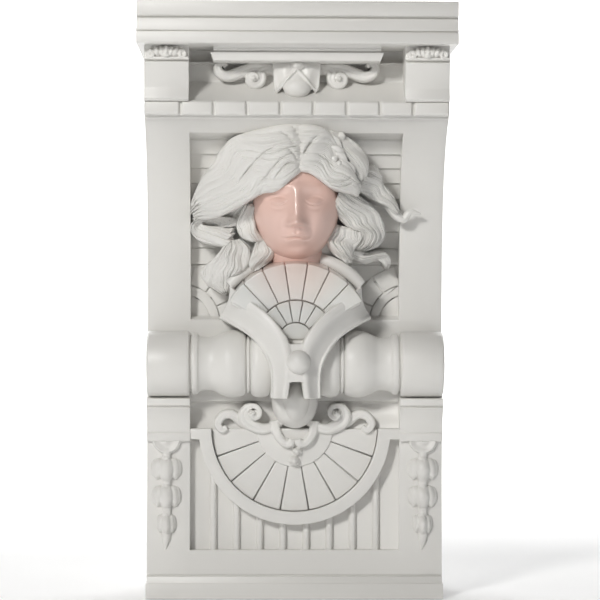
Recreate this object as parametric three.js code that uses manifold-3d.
// A wall corbel cast in one piece: a moulded crown, a frieze with a carved drop between two end blocks,
// a row of dentils, a panel that sweeps back in a cove with the bust of a long-haired figure on it,
// turned balusters that run into the bust's collar, scrolls round an acorn, and a fan over a reeded panel.
// Millimetres, +Z up, the front faces -Y, and the origin is the centre of the flat back that meets the wall.
import * as THREE from "three";
import { mergeVertices } from "three/addons/utils/BufferGeometryUtils.js";
import Module from "manifold-3d";

const wasm = await Module();
wasm.setup();

// Widths across the corbel
const BODY_WIDTH = 303;
const STILE_WIDTH = 44;
const CROWN_OVERHANG = 7;
const SHELF_WIDTH = 172;

// Heights, stacked from the foot to the top
const PLINTH_HEIGHT = 17;
const PLINTH_BEVEL = 10;
const LOWER_RAIL = 22;
const LOWER_PANEL_HEIGHT = 112;
const FAN_RISE = 13;
const FILLET_HEIGHT = 9;
const COVE_HEIGHT = 28;
const BAND_HEIGHT = 7;
const ROLL_GAP = 2;
const ROLL_RADIUS = 33.5;
const PANEL_HEIGHT = 212;
const LISTEL_HEIGHT = 3;
const DENTIL_HEIGHT = 15;
const FRIEZE_HEIGHT = 54;
const CROWN_HEIGHT = 42;

// Depths, forward from the wall
const CROWN_DEPTH = 215;
const DENTIL_DEPTH = 190;
const PANEL_TOP_DEPTH = 178;
const PANEL_FOOT_DEPTH = 98;
const ROLL_AXIS_DEPTH = 112;
const PLINTH_DEPTH = 113;
const PILASTER_DEPTH = 108;
const FRIEZE_SETBACK = 42;
const SOFFIT_SETBACK = 8;

// The recess behind the bust and its boarded back
const RECESS_DEPTH = 20;
const TOP_RAIL = 14;
const FOOT_RAIL = 12;
const BOARD_PITCH = 17.4;
const BOARD_LAP = 2.5;
const CORNER_FAN_RADII = [29, 39, 59];
const CORNER_FAN_STEPS = [4, 6, 5];
const CORNER_FAN_JOINT = 1.4;

// The lower panel with its reeds and its fan
const LOWER_RECESS_DEPTH = 12;
const REED_COUNT = 8;
const REED_WIDTH = 7.7;
const REED_DEPTH = 6;
const FAN_INNER_RADIUS = 40;
const FAN_OUTER_RADIUS = 84;
const FAN_RIM_WIDTH = 13;
const FAN_PLATES = 9;
const FAN_JOINT = 1.6;

const DENTIL_COUNT = 9;
const DENTIL_PITCH = 33;
const DENTIL_GAP = 1.8;

// The bust's height. It is drawn in 238 units of height, and scaled to this one
const FIGURE_HEIGHT = 238;
const figureScale = FIGURE_HEIGHT / 238;
const BIB_RADII = [17, 41, 77];
const BIB_ANGLE = 17.2;
const BIB_JOINT = 1.5;
const WAVE_STEPS = 8;
const LOCK_SECTION = [
  [-1, -0.3],
  [-0.45, 0.75],
  [0.45, 0.75],
  [1, -0.3],
];

// Levels and edges that follow from the sizes above
const halfWidth = BODY_WIDTH / 2;
const innerHalf = halfWidth - STILE_WIDTH;
const zPlinth = PLINTH_HEIGHT + PLINTH_BEVEL;
const zLowerPanel = zPlinth + LOWER_RAIL;
const zFillet = zLowerPanel + LOWER_PANEL_HEIGHT;
const zCove = zFillet + FILLET_HEIGHT;
const zFan = zFillet + FAN_RISE;
const zBand = zCove + COVE_HEIGHT;
const zBandTop = zBand + BAND_HEIGHT;
const zRoll = zBandTop + ROLL_GAP + ROLL_RADIUS;
const zPanel = zRoll + ROLL_RADIUS;
const zPanelTop = zPanel + PANEL_HEIGHT;
const zDentil = zPanelTop + LISTEL_HEIGHT;
const zFrieze = zDentil + DENTIL_HEIGHT;
const zCrown = zFrieze + FRIEZE_HEIGHT;
const zTop = zCrown + CROWN_HEIGHT;
const lowerBackDepth = PILASTER_DEPTH - LOWER_RECESS_DEPTH;
const friezeDepth = DENTIL_DEPTH - FRIEZE_SETBACK;
const soffitDepth = friezeDepth - SOFFIT_SETBACK;
const fanPlateDepth = lowerBackDepth + 8;
const fanRimDepth = PILASTER_DEPTH + 4;

const SLIVER = 0.03;
const OVERLAP = 2; // how far a piece of carving is sunk into what carries it
const radians = THREE.MathUtils.degToRad;

// A closed geometry as a solid: shared corners merged, and faces that a pole makes flat dropped
function solid(geometry) {
  const bare = geometry.clone();
  bare.deleteAttribute("normal");
  bare.deleteAttribute("uv");
  const merged = mergeVertices(bare, 1e-4);
  const corners = merged.index.array;
  const kept = [];
  for (let i = 0; i < corners.length; i += 3) {
    const [a, b, c] = corners.slice(i, i + 3);
    if (a !== b && b !== c && c !== a) kept.push(a, b, c);
  }
  const mesh = new wasm.Mesh({
    numProp: 3,
    vertProperties: new Float32Array(merged.attributes.position.array),
    triVerts: new Uint32Array(kept),
  });
  const made = new wasm.Manifold(mesh);
  if (made.volume() > 0) return made;
  for (let i = 0; i < kept.length; i += 3) {
    [kept[i + 1], kept[i + 2]] = [kept[i + 2], kept[i + 1]];
  }
  mesh.triVerts = new Uint32Array(kept);
  return new wasm.Manifold(mesh);
}

function join(solids) {
  return solids.flat(Infinity).reduce((sum, next) => sum.add(next));
}

// The same carving on both sides of the middle
function bothSides(make) {
  return [make(1), make(-1)];
}

function box(x0, x1, z0, z1, back, front) {
  const block = new THREE.BoxGeometry(x1 - x0, front - back, z1 - z0);
  block.translate((x0 + x1) / 2, -(front + back) / 2, (z0 + z1) / 2);
  return solid(block);
}

// An outline drawn on the front, in x and z, pulled forward from one depth to another
function frontPlate(outline, back, front, curveSegments = 12) {
  const plate = new THREE.ExtrudeGeometry(outline, {
    depth: front - back,
    bevelEnabled: false,
    curveSegments,
  });
  plate.rotateX(Math.PI / 2);
  plate.translate(0, -back, 0);
  return solid(plate);
}

// A side profile, in depth and z, run across the corbel from x0 to x1
function moulding(profile, x0, x1, curveSegments = 8) {
  const run = new THREE.ExtrudeGeometry(profile, {
    depth: x1 - x0,
    bevelEnabled: false,
    curveSegments,
  });
  run.rotateX(Math.PI / 2);
  run.rotateZ(-Math.PI / 2);
  run.translate(x1, 0, 0);
  return solid(run);
}

function shapeOf(points) {
  return new THREE.Shape(points.map(([u, v]) => new THREE.Vector2(u, v)));
}

// A ring sector between two radii, from one angle to another, in degrees
function sector(cx, cz, inner, outer, from, to) {
  const shape = new THREE.Shape();
  const [a, b] = [radians(from), radians(to)];
  shape.absarc(cx, cz, outer, a, b, false);
  if (inner > 0) shape.absarc(cx, cz, inner, b, a, true);
  else shape.lineTo(cx, cz);
  shape.closePath();
  return shape;
}

// Radial plates with a narrow joint between each two
function fanPlates(cx, cz, inner, outer, angles, joint, back, front, curveSegments) {
  return angles.slice(1).map((to, i) => {
    const half = THREE.MathUtils.radToDeg(joint / 2 / ((inner + outer) / 2));
    const shape = sector(cx, cz, inner, outer, angles[i] + half, to - half);
    return frontPlate(shape, back, front, curveSegments);
  });
}

function steps(from, to, count) {
  return Array.from({ length: count + 1 }, (_, i) => from + ((to - from) * i) / count);
}

// A turned form round an axis along x, from [x, radius] pairs
function turned(profile, depth, z, segments) {
  const points = profile.map(([x, radius]) => new THREE.Vector2(radius, x));
  const ends = [new THREE.Vector2(0, profile[0][0]), new THREE.Vector2(0, profile.at(-1)[0])];
  const lathe = new THREE.LatheGeometry([ends[0], ...points, ends[1]], segments);
  lathe.rotateZ(-Math.PI / 2);
  lathe.translate(0, -depth, z);
  return solid(lathe);
}

// Rings of corners, each ring an array of Vector3, skinned into one closed geometry
function skin(rings) {
  const sides = rings[0].length;
  const corners = rings.flat();
  const faces = [];
  const at = (ring, side) => ring * sides + (side % sides);
  for (let ring = 0; ring < rings.length - 1; ring++) {
    for (let side = 0; side < sides; side++) {
      faces.push(at(ring, side), at(ring, side + 1), at(ring + 1, side));
      faces.push(at(ring, side + 1), at(ring + 1, side + 1), at(ring + 1, side));
    }
  }
  const last = rings.length - 1;
  for (let side = 1; side < sides - 1; side++) {
    faces.push(at(0, 0), at(0, side + 1), at(0, side));
    faces.push(at(last, 0), at(last, side), at(last, side + 1));
  }
  const geometry = new THREE.BufferGeometry().setFromPoints(corners);
  geometry.setIndex(faces);
  return geometry;
}

// Points given as [x, z, depth], in the model's axes
function corners3(points) {
  return points.map(([x, z, depth]) => new THREE.Vector3(x, -depth, z));
}

// A strand along points [x, z, depth]. Its cross-section is [across, outward] pairs of its half width
function strand(points, stepCount, section, widthAt) {
  const path = new THREE.CatmullRomCurve3(corners3(points), false, "centripetal");
  const forward = new THREE.Vector3(0, -1, 0);
  const rings = steps(0, 1, stepCount).map((t) => {
    const centre = path.getPoint(t);
    const along = path.getTangent(t);
    const side = new THREE.Vector3().crossVectors(along, forward).normalize();
    const out = new THREE.Vector3().crossVectors(side, along).normalize();
    const half = widthAt(t);
    return section.map(([across, outward]) =>
      centre.clone().addScaledVector(side, half * across).addScaledVector(out, half * outward),
    );
  });
  return solid(skin(rings));
}

// A round or oval cross-section
function oval(sides, flatness) {
  return steps(0, 2 * Math.PI, sides)
    .slice(1)
    .map((angle) => [Math.cos(angle), flatness * Math.sin(angle)]);
}

// A scroll in relief along points [x, z, depth]: its front is rounded, and its sides run straight back
function relief(points, stepCount, widthAt, back) {
  const path = new THREE.CatmullRomCurve3(corners3(points), false, "centripetal");
  const rings = steps(0, 1, stepCount).map((t) => {
    const centre = path.getPoint(t);
    const along = path.getTangent(t);
    const side = new THREE.Vector3(-along.z, 0, along.x).normalize();
    const half = widthAt(t);
    const front = [-1, -0.55, 0.55, 1].map((share) => {
      const corner = centre.clone().addScaledVector(side, half * share);
      corner.y += half * 0.75 * (Math.abs(share) > 0.9 ? 1 : 0);
      return corner;
    });
    const rear = [front[3], front[0]].map((end) => new THREE.Vector3(end.x, -back, end.z));
    return [...front, ...rear];
  });
  return solid(skin(rings));
}

// Points of a scroll that winds in to its eye
function volute(cx, cz, depth, outer, inner, fromDegrees, sweepDegrees, count, rise = 4) {
  return steps(0, 1, count).map((t) => {
    const angle = radians(fromDegrees + sweepDegrees * t);
    const radius = outer + (inner - outer) * t ** 0.8;
    return [cx + radius * Math.cos(angle), cz + radius * Math.sin(angle), depth + rise * t];
  });
}

function mirrored(points, side) {
  return points.map(([x, z, d]) => [x * side, z, d]);
}

// A domed boss on a wall, oval from the front. It may pinch towards its foot and lean aside at its head
function dome({ x, z, rx, rz, back, front, columns = 6, pinch = 0, lean = 0 }) {
  const outline = [
    [0, back],
    [1, back],
    [0.75, back + (front - back) * 0.7],
    [0, front],
  ];
  const lathe = new THREE.LatheGeometry(outline.map(([u, v]) => new THREE.Vector2(u, v)), columns);
  lathe.rotateX(Math.PI);
  const at = lathe.attributes.position;
  for (let i = 0; i < at.count; i++) {
    const up = at.getZ(i);
    at.setXYZ(i, x + rx * (at.getX(i) * (1 + pinch * up) + lean * up), at.getY(i), z + rz * up);
  }
  return solid(lathe);
}

function ball(x, z, depth, rx, rz, ry, columns = 12, rows = 8) {
  const sphere = new THREE.SphereGeometry(1, columns, rows);
  sphere.rotateX(Math.PI / 2);
  sphere.scale(rx, ry, rz);
  sphere.translate(x, -depth, z);
  return solid(sphere);
}

// The cove of the panel, seen from the side: depth as a curve of height
const coveCurve = new THREE.CubicBezierCurve(
  new THREE.Vector2(PANEL_FOOT_DEPTH, zPanel),
  new THREE.Vector2(PANEL_FOOT_DEPTH + 1, zPanel + PANEL_HEIGHT * 0.55),
  new THREE.Vector2(PANEL_FOOT_DEPTH + 20, zPanel + PANEL_HEIGHT * 0.82),
  new THREE.Vector2(PANEL_TOP_DEPTH, zPanelTop),
);

// The cove's points between two heights, set back by some depth
function covePoints(z0, z1, setback, count) {
  const fine = coveCurve.getPoints(120);
  return steps(z0, z1, count).map((z) => {
    const next = fine.findIndex((p) => p.y >= z - 1e-6);
    const [a, b] = [fine[Math.max(0, next - 1)], fine[Math.max(1, next)]];
    const share = THREE.MathUtils.clamp((z - a.y) / (b.y - a.y), 0, 1);
    return [a.x + (b.x - a.x) * share - setback, z];
  });
}

// The crown: three bands, the middle one leaning out, over a short soffit
function crown() {
  const reach = halfWidth + CROWN_OVERHANG;
  const bands = shapeOf([
    [0, zCrown],
    [CROWN_DEPTH - 3, zCrown],
    [CROWN_DEPTH - 1, zCrown + 2],
    [CROWN_DEPTH - 1, zCrown + 10],
    [CROWN_DEPTH - 4, zCrown + 11.5],
    [CROWN_DEPTH - 2, zCrown + 13],
    [CROWN_DEPTH - 5, zCrown + 26.5],
    [CROWN_DEPTH, zCrown + 28],
    [CROWN_DEPTH, zTop - 1.5],
    [CROWN_DEPTH - 1.5, zTop],
    [0, zTop],
  ]);
  const shelf = shapeOf([
    [soffitDepth - OVERLAP, zCrown - 14.6],
    [DENTIL_DEPTH - 1, zCrown - 14.6],
    [DENTIL_DEPTH + 3, zCrown - 12],
    [DENTIL_DEPTH + 3, zCrown - 6.8],
    [soffitDepth - OVERLAP, zCrown - 6.8],
  ]);
  return [moulding(bands, -reach, reach), moulding(shelf, -SHELF_WIDTH / 2, SHELF_WIDTH / 2)];
}

// The solid core: the levels that the recesses show, across the whole width
function core() {
  const outline = [
    [0, 0],
    [PLINTH_DEPTH, 0],
    [PLINTH_DEPTH, PLINTH_HEIGHT],
    [PLINTH_DEPTH - 2, PLINTH_HEIGHT + 5],
    [PILASTER_DEPTH, zPlinth],
    [PILASTER_DEPTH, zLowerPanel],
    [lowerBackDepth, zLowerPanel],
    [lowerBackDepth, zFan - 1],
    [lowerBackDepth + 3, zFan - 1],
    [lowerBackDepth + 3, zFan + 1],
    [lowerBackDepth - 3, zFan + 12],
    [lowerBackDepth - 6, zBand + 2],
    [lowerBackDepth + 2, zBand + 4],
    [lowerBackDepth + 2, zBandTop + 2],
    [PANEL_FOOT_DEPTH - 6, zRoll],
    [PANEL_FOOT_DEPTH - 1, zPanel],
    ...covePoints(zPanel + 0.5, zPanel + FOOT_RAIL, 0, 1),
    ...boardProfile(),
    ...covePoints(zPanelTop - TOP_RAIL, zPanelTop, 0, 3),
    [PANEL_TOP_DEPTH + 4, zPanelTop],
    [PANEL_TOP_DEPTH + 4, zDentil],
    [DENTIL_DEPTH - 4, zDentil],
    [DENTIL_DEPTH - 4, zFrieze],
    [friezeDepth, zFrieze + 21],
    [friezeDepth, zCrown - 16],
    [friezeDepth + 3, zCrown - 15.5],
    [friezeDepth + 3, zCrown - 13],
    [soffitDepth, zCrown - 12],
    [soffitDepth, zCrown + OVERLAP],
    [0, zCrown + OVERLAP],
  ];
  return moulding(shapeOf(outline), -halfWidth, halfWidth);
}

// The boarded back of the recess: each board laps over the next one up
function boardProfile() {
  const z0 = zPanel + FOOT_RAIL;
  const z1 = zPanelTop - TOP_RAIL;
  const back = covePoints(z0, z1, RECESS_DEPTH, 60);
  let run = FOOT_RAIL;
  const points = [];
  back.forEach(([depth, z], i) => {
    if (i > 0) run += Math.hypot(depth - back[i - 1][0], z - back[i - 1][1]);
    const board = Math.floor(run / BOARD_PITCH);
    if (i === 0 || board > points.at(-1).board) {
      if (i > 0) points.push({ board: board - 1, at: [depth - BOARD_LAP, z - 0.6] });
      points.push({ board, at: [depth, z] });
    }
  });
  points.push({ board: 0, at: [back.at(-1)[0] - BOARD_LAP, z1] });
  return points.map((p) => p.at);
}

// The stiles at the sides, with their pilaster, fillet, cove block and band
function stiles() {
  const outline = new THREE.Shape();
  outline.moveTo(0, 0);
  outline.lineTo(PILASTER_DEPTH, 0);
  outline.lineTo(PILASTER_DEPTH, zFillet);
  outline.lineTo(PILASTER_DEPTH + 5, zFillet);
  outline.lineTo(PILASTER_DEPTH + 5, zCove);
  outline.quadraticCurveTo(PILASTER_DEPTH + 7, zCove + COVE_HEIGHT * 0.7, PILASTER_DEPTH + 15, zBand - 1);
  outline.lineTo(PILASTER_DEPTH + 13, zBand);
  outline.lineTo(PILASTER_DEPTH + 17, zBand + 1);
  outline.lineTo(PILASTER_DEPTH + 17, zBandTop);
  outline.lineTo(ROLL_AXIS_DEPTH, zBandTop + 1);
  outline.lineTo(PANEL_FOOT_DEPTH, zPanel - 6);
  covePoints(zPanel, zPanelTop, 0, 12).forEach(([depth, z]) => outline.lineTo(depth, z));
  outline.lineTo(0, zPanelTop);
  return bothSides((side) =>
    side > 0 ? moulding(outline, innerHalf, halfWidth, 4) : moulding(outline, -halfWidth, -innerHalf, 4),
  );
}

function plinth() {
  const step = 1;
  return box(-halfWidth - step, halfWidth + step, 0, PLINTH_HEIGHT, 0, PLINTH_DEPTH + step);
}

// End blocks of the frieze, with a flared foot, and a carved shell over each
function endBlocks() {
  const blockTop = zCrown - 14;
  const profile = shapeOf([
    [soffitDepth - OVERLAP, zFrieze - 1],
    [DENTIL_DEPTH + 2, zFrieze - 1],
    [DENTIL_DEPTH + 4, zFrieze + 3],
    [DENTIL_DEPTH + 1, zFrieze + 11],
    [DENTIL_DEPTH, zFrieze + 16],
    [DENTIL_DEPTH + 6, blockTop],
    [DENTIL_DEPTH + 3, blockTop + 1],
    [DENTIL_DEPTH + 3, zCrown + OVERLAP],
    [soffitDepth - OVERLAP, zCrown + OVERLAP],
  ]);
  return bothSides((side) => {
    const middle = side * (halfWidth - STILE_WIDTH / 2);
    const block = moulding(profile, middle - STILE_WIDTH / 2, middle + STILE_WIDTH / 2);
    const lobes = steps(-1, 1, 4).map((share) =>
      dome({
        x: middle + share * 13,
        z: zCrown - 7,
        rx: 4.5 - Math.abs(share),
        rz: 6,
        back: DENTIL_DEPTH,
        front: DENTIL_DEPTH + 10,
        lean: share,
      }),
    );
    return [block, lobes];
  });
}

function dentils() {
  const firstJoint = (1 - DENTIL_COUNT / 2) * DENTIL_PITCH;
  const profile = shapeOf([
    [DENTIL_DEPTH - 8, zDentil + 0.5],
    [DENTIL_DEPTH - 1.5, zDentil + 0.5],
    [DENTIL_DEPTH, zDentil + 3],
    [DENTIL_DEPTH, zFrieze - 2.5],
    [DENTIL_DEPTH - 2, zFrieze - 0.3],
    [DENTIL_DEPTH - 8, zFrieze - 0.3],
  ]);
  return Array.from({ length: DENTIL_COUNT }, (_, i) => {
    const joint = firstJoint + i * DENTIL_PITCH;
    const start = i === 0 ? -halfWidth : joint - DENTIL_PITCH + DENTIL_GAP / 2;
    const end = i === DENTIL_COUNT - 1 ? halfWidth : joint - DENTIL_GAP / 2;
    return moulding(profile, start, end);
  });
}

// The hanging cloth with a bud on it, and an S scroll to each side, on the frieze
function friezeDrop() {
  const z = zFrieze;
  const front = friezeDepth + 26;
  const cloth = shapeOf([
    [-24, z + 40],
    [24, z + 40],
    [23, z + 10],
    [19, z + 8],
    [0, z + 30],
    [-18, z + 8],
    [-23, z + 10],
  ]);
  const backing = shapeOf([
    [-23, z + 40],
    [23, z + 40],
    [19, z + 12],
    [-19, z + 12],
  ]);
  const bud = strand(
    [
      [0.5, z + 29, front - 3],
      [0.5, z + 21, front - 3],
      [0.5, z + 12, front - 4],
      [0.5, z + 5, front - 9],
    ],
    6,
    oval(8, 0.8),
    (t) => 1 + 13 * Math.sin(Math.PI * Math.min(1, 0.03 + 0.94 * t ** 1.3)),
  );
  const tongue = ball(1, z + 38, front + 2, 7, 5, 7, 8, 4);
  const scrolls = bothSides((side) => {
    const path = [
      ...volute(45, z + 22.4, front - 12, 7.5, 2.4, 200, -320, 10, 3).reverse(),
      [34, z + 32, front - 16],
      [24, z + 33, front - 18],
    ].reverse();
    const hook = [
      [22, z + 34, front - 15],
      [44, z + 34, front - 12],
      [58, z + 29, front - 10],
      [69, z + 26, front - 9],
      [77.5, z + 29.5, front - 9],
      [79, z + 35.5, front - 10],
    ];
    return [
      relief(mirrored(path, side), 10, (t) => 4.4 - 1.4 * t, friezeDepth - OVERLAP),
      relief(mirrored(hook, side), 8, (t) => 3 + 2.6 * Math.sin(Math.PI * t), friezeDepth - OVERLAP),
    ];
  });
  const back = friezeDepth - OVERLAP;
  return [frontPlate(cloth, back, front), frontPlate(backing, back, front - 8), bud, tongue, scrolls];
}

// Quarter fans in the two lower corners of the recess
function cornerFans() {
  const z = zPanel + FOOT_RAIL - 3;
  const wall = PANEL_FOOT_DEPTH - RECESS_DEPTH;
  const [inner, ring, outer] = CORNER_FAN_RADII;
  const clip = box(-innerHalf, innerHalf, z, z + outer + 4, wall - 8, wall + 12);
  const made = bothSides((side) => {
    const cx = side * (innerHalf + 9);
    const flip = (degrees) => (side > 0 ? 180 - degrees : degrees);
    const span = (from, to) => [flip(from), flip(to)].sort((a, b) => a - b);
    const [a0, a1] = span(0, 100);
    const voussoirs = steps(...span(-2, 106), 4);
    const [low, mid, high] = CORNER_FAN_STEPS;
    return [
      frontPlate(sector(cx, z, 0, inner, a0, a1), wall - 6, wall + low, 4),
      frontPlate(sector(cx, z, inner - 1, ring, a0, a1), wall - 6, wall + mid, 6),
      fanPlates(cx, z, ring + 0.8, outer, voussoirs, CORNER_FAN_JOINT, wall - 6, wall + high, 2),
    ];
  });
  return join(made).intersect(clip);
}

// End caps of the roll and the balusters between them and the collar
function rolls() {
  const cap = [
    [innerHalf, ROLL_RADIUS],
    [halfWidth, ROLL_RADIUS],
  ];
  const reach = innerHalf;
  const baluster = [
    [reach + 1, ROLL_RADIUS - 4],
    [reach - 1.5, ROLL_RADIUS - 4],
    [reach - 3, ROLL_RADIUS - 1.2],
    [reach - 7, ROLL_RADIUS - 4],
    [reach - 16, ROLL_RADIUS - 6.3],
    [reach - 24, ROLL_RADIUS - 4.5],
    [reach - 33, ROLL_RADIUS - 0.6],
    [reach - 42, ROLL_RADIUS + 0.8],
    [reach - 55, ROLL_RADIUS - 1.6],
    [reach - 58, ROLL_RADIUS - 5],
    [reach - 62, ROLL_RADIUS - 5],
    [reach - 63.5, ROLL_RADIUS - 1.4],
    [reach - 69, ROLL_RADIUS + 1.2],
    [reach - 75, ROLL_RADIUS - 0.6],
    [reach - 80, ROLL_RADIUS - 6],
  ];
  return bothSides((side) => {
    const flipped = (profile) => profile.map(([x, radius]) => [x * side, radius]);
    return [
      turned(flipped(cap), ROLL_AXIS_DEPTH, zRoll, 20),
      turned(flipped(baluster), ROLL_AXIS_DEPTH, zRoll, 14),
    ];
  });
}

// The half-round fan over the reeded panel
function lowerFan() {
  const z = zFan;
  const rimInner = FAN_OUTER_RADIUS + 1.5;
  const reeds = Array.from({ length: REED_COUNT }, (_, i) => {
    const pitch = (2 * innerHalf) / (REED_COUNT + 1);
    const x = (i - (REED_COUNT - 1) / 2) * pitch;
    const top = z - Math.sqrt(Math.max(100, (rimInner + 3) ** 2 - x ** 2));
    const [x0, x1] = [x - REED_WIDTH / 2, x + REED_WIDTH / 2];
    return box(x0, x1, zLowerPanel - 1, top, lowerBackDepth - 2, lowerBackDepth + REED_DEPTH);
  });
  const back = lowerBackDepth - 1;
  const angles = steps(180, 360, FAN_PLATES);
  const inner = FAN_INNER_RADIUS + 0.8;
  const plates = fanPlates(0, z, inner, FAN_OUTER_RADIUS, angles, FAN_JOINT, back, fanPlateDepth, 2);
  const disc = frontPlate(sector(0, z, 0, FAN_INNER_RADIUS, 180, 360), back, fanPlateDepth + 3, 10);
  const rim = frontPlate(sector(0, z, rimInner, rimInner + FAN_RIM_WIDTH, 180, 360), back, fanRimDepth, 18);
  const shoulder = bothSides((side) => {
    const [x0, x1] = [rimInner + 3, innerHalf + 1].map((x) => x * side).sort((a, b) => a - b);
    return box(x0, x1, z - FAN_RISE + 1, z, lowerBackDepth - 1, fanRimDepth);
  });
  return [reeds, plates, disc, rim, shoulder];
}

// Bellflower drops down the pilasters
function garlands() {
  const face = PILASTER_DEPTH;
  const back = face - OVERLAP;
  return bothSides((side) => {
    const x = side * (halfWidth - STILE_WIDTH / 2 + 2);
    const cup = new THREE.Shape();
    cup.absellipse(x, zFillet, 14.5, 13, Math.PI, 2 * Math.PI, false);
    const bells = [
      { z: zFillet - 30, width: 17, height: 13 },
      { z: zFillet - 58, width: 16, height: 13.5 },
      { z: zFillet - 85, width: 11.5, height: 11.5 },
    ];
    const petals = bells.map(({ z, width, height }) => {
      const petal = { z, back, rz: height };
      const outer = [-1, 1].map((hand) =>
        dome({ ...petal, x: x + hand * width * 0.62, rx: width * 0.36, front: face + 6, lean: -0.5 * hand }),
      );
      return [dome({ ...petal, x, rx: width * 0.5, front: face + 10, pinch: 0.3 }), outer];
    });
    const path = [
      [x, zFillet - 10, face + 4],
      [x, zFillet - 92, face + 4],
      [x - 1, zFillet - 113, face + 2],
    ];
    const stem = relief(path, 3, (t) => (t < 0.85 ? 4.6 : 1), back);
    return [frontPlate(cup, back, face + 7, 6), petals, stem];
  });
}

// The acorn under the collar, the scrolls beside it, two curled tongues and two beads below
function acornAndScrolls() {
  const z = zCove;
  const face = lowerBackDepth;
  const back = face - 9;
  const mainWidth = (t) => 3.5 + 3.2 * Math.sin(Math.PI * Math.min(1, t * 1.7)) * (1 - t * 0.6);
  const cup = ball(0, z + 32, face + 8, 24, 28, 30, 12, 6);
  const nut = ball(1, z + 34, face + 14, 16.5, 25, 34, 10, 6);
  const scrolls = bothSides((side) => {
    const main = [
      [18, z + 8, face + 14],
      [30, z + 4, face + 17],
      ...volute(42, z + 17, face + 17, 14, 4, -80, 400, 9, 6),
    ];
    const hook = [
      [52, z + 8, face + 8],
      [60, z + 16, face + 12],
      [70, z + 19, face + 14],
      [78, z + 13, face + 15],
      [77, z + 4, face + 15],
      [70, z + 2, face + 14],
    ];
    const tongue = [
      [21, z + 12, face + 15],
      [19.5, z + 3, face + 17],
      [16, z - 5, face + 18],
      [10, z - 11, face + 19],
      [5, z - 11, face + 19],
    ];
    return [
      relief(mirrored(main, side), 13, mainWidth, back),
      relief(mirrored(hook, side), 7, (t) => 3 + 2 * t, back),
      relief(mirrored(tongue, side), 6, (t) => 5.2 - 1.4 * t, back),
    ];
  });
  const beads = [
    dome({ x: 2.5, z: z - 19, rx: 6.2, rz: 4.8, back, front: face + 21, columns: 8 }),
    dome({ x: -0.5, z: z - 29.4, rx: 6.6, rz: 6, back, front: face + 22, columns: 8 }),
  ];
  return [cup, nut, scrolls, beads];
}

// Everything below is drawn in the bust's own frame: x, height over the boss, and depth off the panel
const bustFrame = new THREE.Matrix4()
  .makeTranslation(0, -PANEL_FOOT_DEPTH, zRoll + 3.5)
  .scale(new THREE.Vector3(figureScale, figureScale, figureScale));

// The face's relief over the egg of the head: u across and v up from its middle, as shares of the half size.
// The eyes sit at half the head's height, the nose ends halfway from the brow to the chin, and the mouth
// lies a third of the way down from there.
function faceRelief(u, v) {
  const bump = (cu, cv, su, sv) => Math.exp(-(((u - cu) / su) ** 2) - ((v - cv) / sv) ** 2);
  const pair = (cu, cv, su, sv) => bump(cu, cv, su, sv) + bump(-cu, cv, su, sv);
  const nose = 6 * bump(0, -0.2, 0.14, 0.2) + 6 * bump(0, -0.36, 0.2, 0.1);
  const eyes = 3.5 * pair(0.42, -0.04, 0.2, 0.09) - 5 * pair(0.38, 0.0, 0.28, 0.18);
  const mouth = 3.5 * bump(0, -0.62, 0.3, 0.1);
  const chin = 3 * bump(0, -0.9, 0.3, 0.16);
  return nose + eyes + mouth + chin;
}

const HEAD = { z: 162, depth: 32, halfWidth: 45, halfHeight: 63, halfDepth: 52 };

// An egg with a full jaw, its columns bunched at the front where the face is
function head() {
  const sphere = new THREE.SphereGeometry(1, 20, 20);
  const at = sphere.attributes.position;
  for (let i = 0; i < at.count; i++) {
    const up = at.getY(i);
    const turn = Math.atan2(at.getX(i), at.getZ(i)) / Math.PI;
    const bunched = Math.PI * Math.sign(turn) * Math.abs(turn) ** 1.4;
    const jaw = Math.sqrt(1 - Math.abs(up) ** 2.7) * (1 - 0.24 * Math.abs(up) ** 1.6);
    const level = up < 0 ? jaw : Math.hypot(at.getX(i), at.getZ(i));
    const across = level * Math.sin(bunched);
    const out = level * Math.cos(bunched);
    const relief = out > 0 ? faceRelief(across, up) * Math.sqrt(out) : 0;
    const depth = HEAD.depth + out * HEAD.halfDepth + relief;
    at.setXYZ(i, across * HEAD.halfWidth, -depth, HEAD.z + up * HEAD.halfHeight);
  }
  return solid(sphere);
}

// A strip between two edge rails, [x, z, depth] each, with a rounded front and a flat back
function ribbon(railA, railB, stepCount, across, crownHeight, back) {
  const curve = (rail) => new THREE.CatmullRomCurve3(corners3(rail));
  const [a, b] = [curve(railA), curve(railB)];
  const rings = steps(0, 1, stepCount).map((t) => {
    const [from, to] = [a.getPoint(t), b.getPoint(t)];
    const front = steps(0, 1, across).map((s) => {
      const point = from.clone().lerp(to, s);
      point.y -= crownHeight * Math.sin(Math.PI * s);
      return point;
    });
    const rear = [to, from].map((end) => new THREE.Vector3(end.x, -back, end.z));
    return [...front, ...rear];
  });
  return solid(skin(rings));
}

function bustBlock() {
  const shoulders = new THREE.Shape();
  shoulders.moveTo(-62, 40);
  shoulders.quadraticCurveTo(-70, 62, -58, 74);
  shoulders.quadraticCurveTo(-36, 98, 0, 100);
  shoulders.quadraticCurveTo(36, 98, 58, 74);
  shoulders.quadraticCurveTo(70, 62, 62, 40);
  shoulders.lineTo(26, 4);
  shoulders.lineTo(24, -30);
  shoulders.lineTo(-24, -30);
  shoulders.lineTo(-26, 4);
  const neck = ball(0, 112, 22, 28, 34, 30, 10, 8);
  return [frontPlate(shoulders, -RECESS_DEPTH - 4, 30, 4), neck];
}

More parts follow.
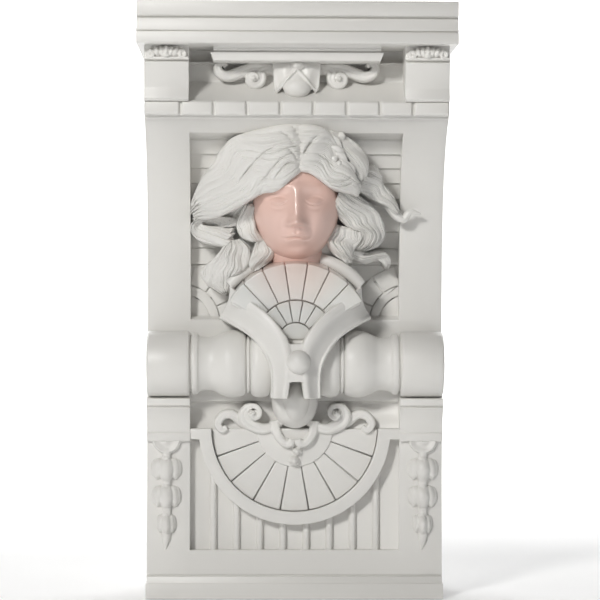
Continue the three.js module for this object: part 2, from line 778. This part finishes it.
// The bib: two rows of radial plates on a leaning bed
function bib() {
  const [core, middle, outer] = BIB_RADII;
  const z = 23;
  const rowAngles = (count) => steps(90 - (count / 2) * BIB_ANGLE, 90 + (count / 2) * BIB_ANGLE, count);
  const bed = frontPlate(sector(0, z, 0, outer - 1, 28, 152), 0, 52, 7);
  const parts = [
    bed,
    fanPlates(0, z, middle + 0.8, outer, rowAngles(7), BIB_JOINT, 20, 55, 2),
    fanPlates(0, z, core + 0.8, middle - 0.8, rowAngles(5), BIB_JOINT, 20, 56, 2),
    frontPlate(sector(0, z, 0, core, 0, 180), 20, 57, 6),
  ];
  const lean = new THREE.Matrix4().makeRotationX(radians(9));
  const pivot = new THREE.Matrix4().makeTranslation(0, -52, z);
  const unpivot = new THREE.Matrix4().makeTranslation(0, 52, -z);
  return join(parts).transform(pivot.multiply(lean).multiply(unpivot).elements);
}

// The collar's edges on one side, from the shoulder down to the tail: [x, z, depth] in the bust's frame
const LAPEL_INNER = [
  [67, 76, 38],
  [54, 67, 54],
  [41, 58, 62],
  [28, 48, 69],
  [17, 36, 74],
  [8, 22, 76],
  [4.5, 6, 76],
  [5, -14, 75],
  [8, -37, 70],
];
const LAPEL_OUTER = [
  [78, 43, 26],
  [66, 37, 36],
  [53, 29.5, 47],
  [42.5, 21.5, 55],
  [34.5, 11, 60],
  [28.5, 0, 63],
  [25.5, -11, 63],
  [25, -24, 61],
  [25.5, -37, 58],
];
const COLLAR_RIM = [[14, 104, 24], [40, 98, 30], [60, 86, 36], [69, 72, 36]];

// Two broad lapels that meet under the boss, their tails, and the standing rim behind the bib
function collar() {
  const lapels = bothSides((side) => {
    const [inner, outer, rim] = [LAPEL_INNER, LAPEL_OUTER, COLLAR_RIM].map((rail) => mirrored(rail, side));
    return [ribbon(inner, outer, 9, 3, 6, 6), strand(rim, 4, oval(5, 1), () => 8)];
  });
  const yoke = frontPlate(shapeOf([[-9, 18], [9, 18], [9, -21], [-9, -21]]), 10, 75);
  const sill = frontPlate(shapeOf([[-9, 27], [9, 27], [9, 16], [-9, 16]]), 10, 54);
  const notch = join([
    frontPlate(shapeOf([[-4.8, -28.5], [4.8, -28.5], [4.8, -20], [-4.8, -20]]), 30, 90),
    frontPlate(shapeOf([[-9, -42], [9, -42], [4.8, -28], [-4.8, -28]]), 30, 90),
  ]);
  const boss = ball(2, 0, 76, 12.5, 12.5, 14, 12, 8);
  return join([lapels, yoke, sill]).subtract(notch).add(boss);
}

// A relief over a grid of front corners, rows of Vector3, with its sides run straight back to one depth
function sheet(rows, back) {
  const columns = rows[0].length;
  const front = rows.flat();
  const rear = front.map((corner) => new THREE.Vector3(corner.x, -back, corner.z));
  const faces = [];
  const at = (row, column) => row * columns + column;
  const quad = (a, b, c, d) => faces.push(a, b, c, a, c, d);
  for (let row = 0; row < rows.length - 1; row++) {
    for (let column = 0; column < columns - 1; column++) {
      const [next, below] = [column + 1, row + 1];
      const corners = [at(row, column), at(row, next), at(below, next), at(below, column)];
      quad(...corners);
      quad(...corners.map((corner) => corner + front.length).reverse());
    }
  }
  const rim = [
    ...steps(0, columns - 1, columns - 1).map((column) => at(0, column)),
    ...steps(1, rows.length - 1, rows.length - 2).map((row) => at(row, columns - 1)),
    ...steps(columns - 2, 0, columns - 2).map((column) => at(rows.length - 1, column)),
    ...steps(rows.length - 2, 1, rows.length - 3).map((row) => at(row, 0)),
  ];
  rim.forEach((corner, i) => {
    const next = rim[(i + 1) % rim.length];
    quad(next, corner, corner + front.length, next + front.length);
  });
  const geometry = new THREE.BufferGeometry().setFromPoints([...front, ...rear]);
  geometry.setIndex(faces);
  return solid(geometry);
}

// A tress of several locks between two guide lines, each [x, z, depth] points from the root to the tips
function tress({ outer, inner, locks, back = -RECESS_DEPTH - 2 }) {
  const guides = [outer, inner].map((guide) => new THREE.CatmullRomCurve3(corners3(guide)));
  const rows = steps(0, 1, 2 * locks).map((share, index) => {
    const isRidge = index % 2 === 1;
    return steps(0, isRidge ? 1 : 0.93, WAVE_STEPS).map((t) => {
      const corner = guides[0].getPoint(t).lerp(guides[1].getPoint(t), share);
      corner.y -= (isRidge ? 4 : -2) * Math.min(1, 0.5 + 2 * t) + 5 * Math.sin(Math.PI * share);
      return corner;
    });
  });
  return sheet(rows, back);
}

// The hair, from the parting to the shoulders: each tress lies between two guide lines, given from its root
// to its tips
const TRESSES = {
  crownLeft: {
    locks: 7,
    outer: [[3, 239, 76], [-34, 234, 70], [-66, 224, 58], [-84, 200, 55], [-97, 181, 50], [-108, 157, 40]],
    inner: [[3, 190, 86], [-14, 173, 85], [-34, 168, 80], [-57, 155, 69], [-82, 144, 55], [-106, 143, 42]],
  },
  crownRight: {
    locks: 5,
    outer: [[3, 239, 76], [24, 235, 73], [40, 223, 72], [49, 206, 75], [58, 189, 75], [66, 177, 66]],
    inner: [[3, 190, 86], [18, 185, 86], [35, 173, 84], [50, 169, 79], [60, 166, 73], [65, 171, 67]],
  },
  crownBack: {
    locks: 2,
    outer: [[36, 231, 62], [58, 223, 57], [71, 208, 55], [73, 194, 56], [69, 181, 57]],
    inner: [[30, 226, 64], [42, 212, 66], [53, 196, 68], [60, 185, 66], [65, 177, 60]],
  },
  curlLeft: {
    locks: 2,
    outer: [[-66, 146, 42], [-92, 148, 38], [-107, 136, 32], [-98, 122, 30], [-80, 117, 32], [-62, 122, 36]],
    inner: [[-60, 144, 36], [-84, 143, 32], [-96, 140, 29], [-90, 136, 29], [-76, 135, 30], [-60, 137, 32]],
  },
  cheekLeft: {
    locks: 2,
    outer: [[-52, 160, 48], [-58, 146, 40], [-60, 134, 36], [-55, 125, 38], [-36, 120, 38]],
    inner: [[-40, 158, 44], [-41, 142, 40], [-39, 133, 40], [-35, 128, 40], [-27, 123, 34]],
  },
  neckLeft: {
    locks: 2,
    outer: [[-40, 126, 34], [-43, 114, 38], [-47, 105, 40], [-48, 97, 40], [-42, 90, 36]],
    inner: [[-27, 124, 34], [-22, 113, 36], [-22, 106, 38], [-29, 98, 42], [-39, 91, 38]],
  },
  swirlLeft: {
    locks: 4,
    outer: [[-56, 124, 34], [-47, 114, 40], [-46, 103, 42], [-53, 91, 41], [-65, 84, 32], [-69, 66, 16]],
    inner: [[-72, 121, 32], [-77, 111, 33], [-87, 102, 27], [-97, 90, 18], [-88, 75, 12], [-71, 65, 10]],
  },
  behindRight: {
    locks: 2,
    outer: [[66, 192, 46], [78, 200, 40], [87, 191, 34], [90, 180, 32], [100, 168, 30], [107, 150, 26]],
    inner: [[56, 178, 50], [66, 170, 46], [76, 164, 42], [86, 160, 38], [97, 153, 32], [105, 144, 26]],
  },
  sweepRight: {
    locks: 4,
    outer: [[46, 178, 64], [72, 161, 46], [89, 143, 33], [91, 126, 28], [78, 114, 26], [58, 111, 26]],
    inner: [[38, 158, 52], [46, 140, 42], [60, 133, 40], [68, 128, 34], [64, 120, 32], [56, 113, 28]],
  },
  neckRight: {
    locks: 3,
    outer: [[70, 132, 34], [67, 123, 34], [61, 114, 34], [58, 105, 32], [58, 98, 28]],
    inner: [[36, 140, 34], [31, 125, 36], [35, 113, 39], [45, 103, 38], [54, 97, 30]],
  },
  hookRight: {
    locks: 2,
    outer: [[57, 114, 28], [71, 111, 20], [85, 113, 14], [96, 108, 11], [97, 93, 4]],
    inner: [[56, 105, 26], [65, 101, 20], [75, 99, 15], [87, 101, 9], [93, 94, 4]],
  },
};
const STRAY_LOCK = [[96, 160, 28], [104, 148, 26], [110, 145, 26], [117, 152, 27], [128, 150, 27]];
const FLOWER_PLACES = [[43, 226, 60], [38, 206, 72], [46, 194, 75]];

function hair() {
  const stray = strand(STRAY_LOCK, 6, LOCK_SECTION, (t) => 6 * (1 - t) ** 0.7 + 1.2);
  const flowers = FLOWER_PLACES.map(([x, z, depth]) => ball(x, z, depth, 5, 5, 5, 6, 4));
  const behind = new THREE.Shape();
  behind.absellipse(-2, 150, 63, 72, 0, 2 * Math.PI, false);
  const nape = [ball(-1, 130, 2, 62, 55, 47, 10, 6), frontPlate(behind, -RECESS_DEPTH - 4, 12, 7)];
  return [nape, Object.values(TRESSES).map(tress), stray, flowers];
}

const bust = join([head(), bustBlock(), bib(), collar(), hair()]).transform(bustFrame.elements);
const carving = [friezeDrop(), cornerFans(), rolls(), lowerFan(), garlands(), acornAndScrolls()];
const whole = join([core(), stiles(), plinth(), crown(), endBlocks(), dentils(), carving, bust]);
// Only the outer skin is kept, without the pockets that crossing locks close off and the slivers they leave
const [skinOnly] = whole.decompose().sort((a, b) => b.volume() - a.volume());
const cast = skinOnly.simplify(SLIVER);

// The joined solid as a three.js geometry, its origin at the centre of the back
function geometryOf(made) {
  const { vertProperties, triVerts, numProp } = made.getMesh();
  const buffer = new THREE.InterleavedBuffer(vertProperties, numProp);
  const geometry = new THREE.BufferGeometry();
  geometry.setAttribute("position", new THREE.InterleavedBufferAttribute(buffer, 3, 0));
  geometry.setIndex(new THREE.BufferAttribute(triVerts, 1));
  const plain = geometry.toNonIndexed();
  plain.translate(0, 0, -zTop / 2);
  plain.computeVertexNormals();
  return plain;
}

const glaze = new THREE.MeshStandardMaterial({ color: 0xe4e2dc, roughness: 0.4, metalness: 0 });
const corbel = new THREE.Mesh(geometryOf(cast), glaze);
corbel.name = "corbel";

const root = new THREE.Group();
root.add(corbel);
export default root;
